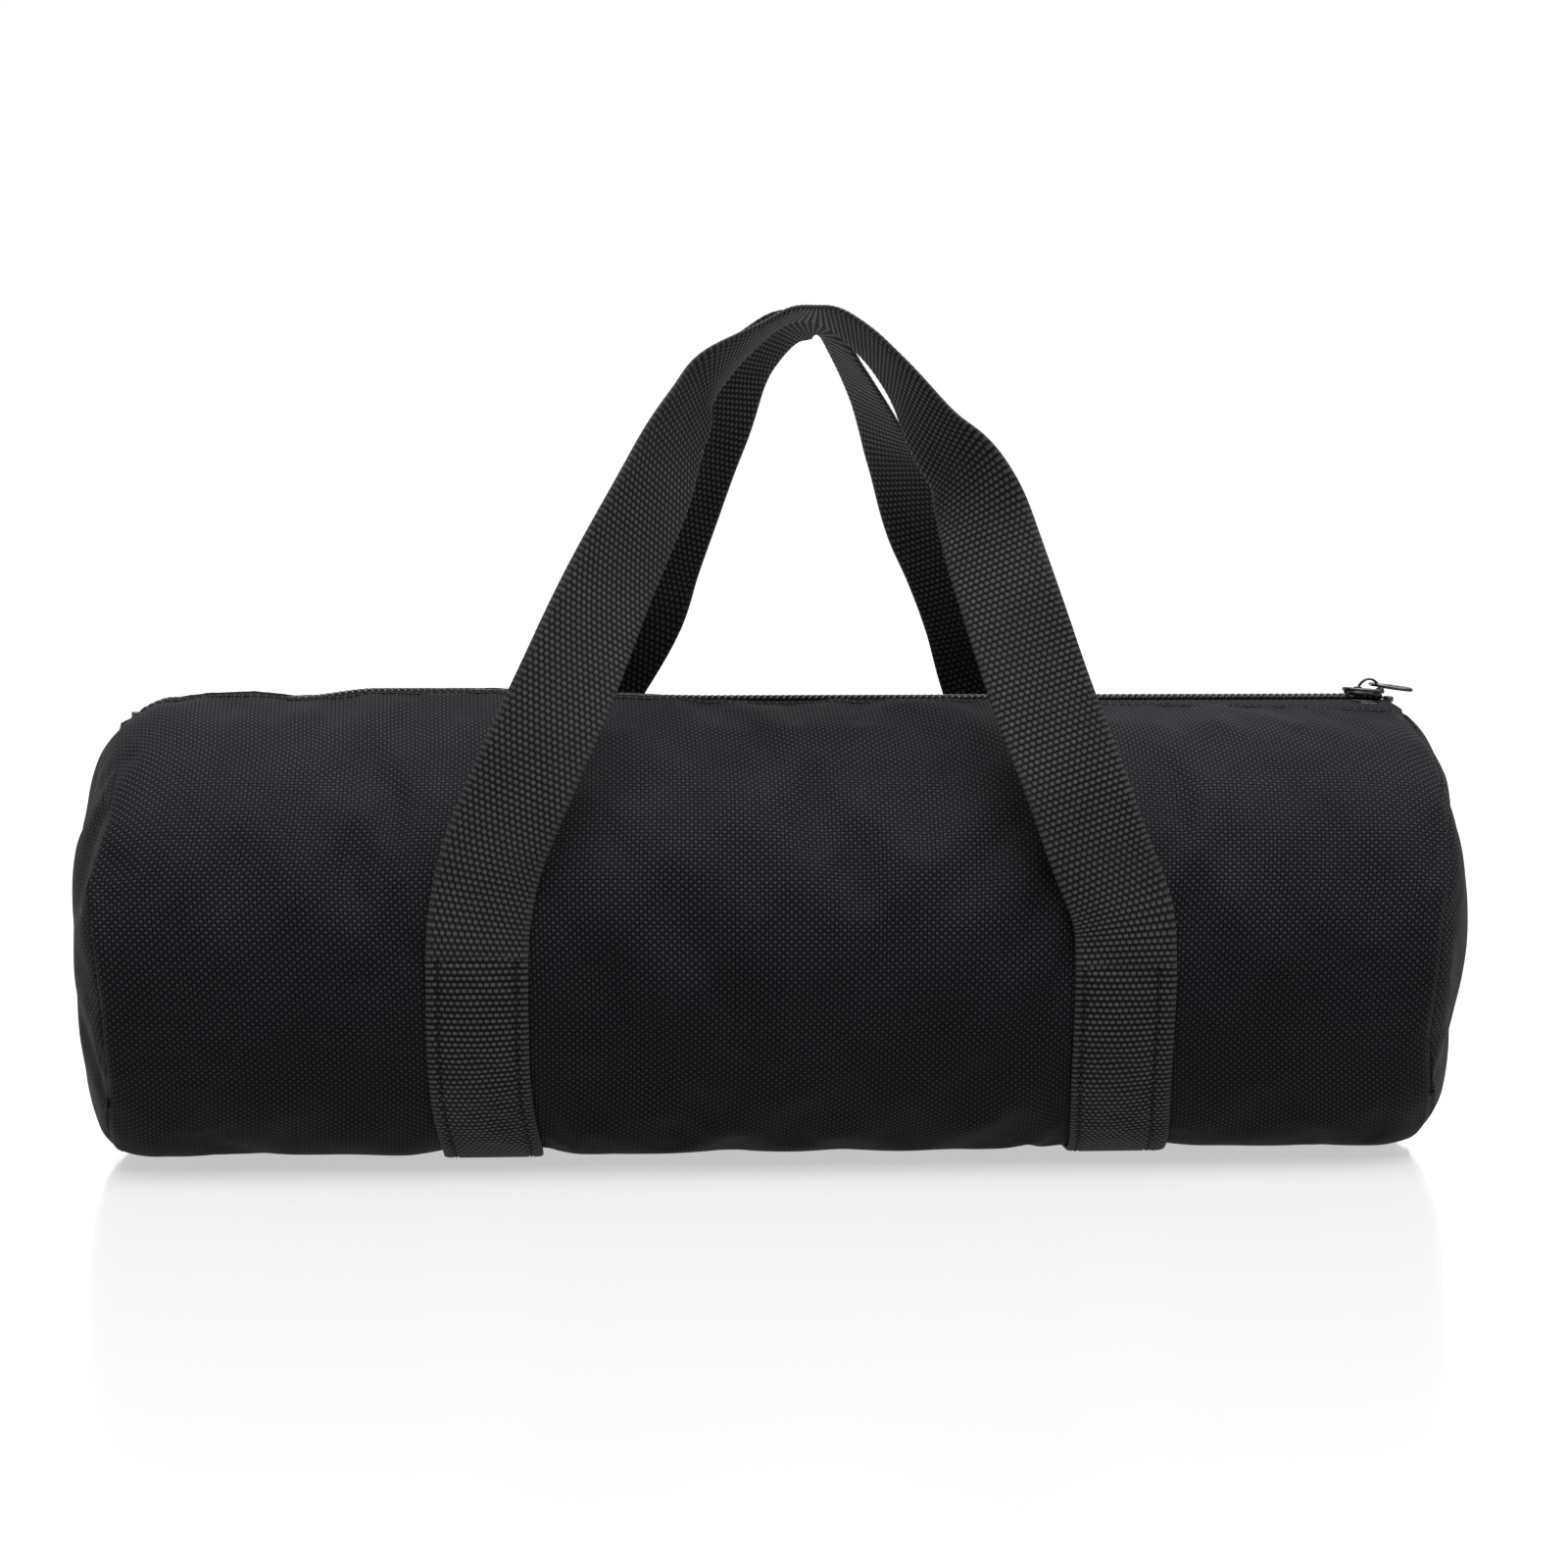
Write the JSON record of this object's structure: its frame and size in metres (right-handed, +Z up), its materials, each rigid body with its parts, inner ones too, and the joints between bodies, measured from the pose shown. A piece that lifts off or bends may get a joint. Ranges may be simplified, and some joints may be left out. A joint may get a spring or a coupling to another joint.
{
  "type": "sandbag",
  "caption": "Zipped barrel-shaped cloth sandbag with a sand-filled liner and two webbing carry handles sewn round its body.",
  "frame": {"origin": "on the floor, under the middle of the bag", "axes": "+X along the bag towards the closed end of the zip, -Y is the front, +Z up"},
  "size_m": [0.42, 0.1506, 0.2588],
  "materials": {
    "oxford_cloth": "matte",
    "binding_tape": "matte",
    "thread": "satin",
    "zip_tape": "matte",
    "zip_coil": "satin",
    "zip_stop": "satin",
    "slider_metal": "polished",
    "pull_metal": "polished",
    "webbing": "satin",
    "liner": "satin",
    "sand": "matte",
    "loop_tape": "matte",
    "hook_tape": "matte"
  },
  "bodies": {
    "bag": {"body_panel": "oxford_cloth", "end_panel_left": "oxford_cloth", "end_panel_right": "oxford_cloth", "seam_binding_left": "binding_tape", "seam_binding_right": "binding_tape", "end_seam_thread_left": "thread", "end_seam_thread_right": "thread", "zip_tape_front": "zip_tape", "zip_tape_rear": "zip_tape", "zip_coil_front": "zip_coil", "zip_coil_rear": "zip_coil", "zip_top_stops": "zip_stop", "zip_bottom_stop": "zip_stop", "zip_stitching": "thread", "strap_left": "webbing", "strap_right": "webbing", "strap_stitching_left": "thread", "strap_stitching_right": "thread", "inner_pouch": "liner", "sand_fill": "sand", "pouch_loop_strip": "loop_tape", "pouch_hook_strip": "hook_tape"},
    "slider": {"zip_slider": "slider_metal"},
    "pull": {"zip_pull": "pull_metal"},
    "front_loop": {"handle_front": "webbing"},
    "rear_loop": {"handle_rear": "webbing"}
  },
  "joints": [
    {"name": "zip_slide", "type": "slide", "parent": "bag", "child": "slider", "axis": [-1, 0, 0], "range_m": [0, 0.365]},
    {"name": "pull_flip", "type": "hinge", "parent": "slider", "child": "pull", "pos_m": [0.1875, 0, 0.1423], "axis": [0, -1, 0], "range_deg": [0, 165]},
    {"name": "front_handle_fold", "type": "hinge", "parent": "bag", "child": "front_loop", "pos_m": [0.0055, -0.0724, 0.065], "axis": [1, 0, 0], "range_deg": [0, 115]},
    {"name": "rear_handle_fold", "type": "hinge", "parent": "bag", "child": "rear_loop", "pos_m": [0.0055, 0.0724, 0.065], "axis": [-1, 0, 0], "range_deg": [0, 115]}
  ]
}
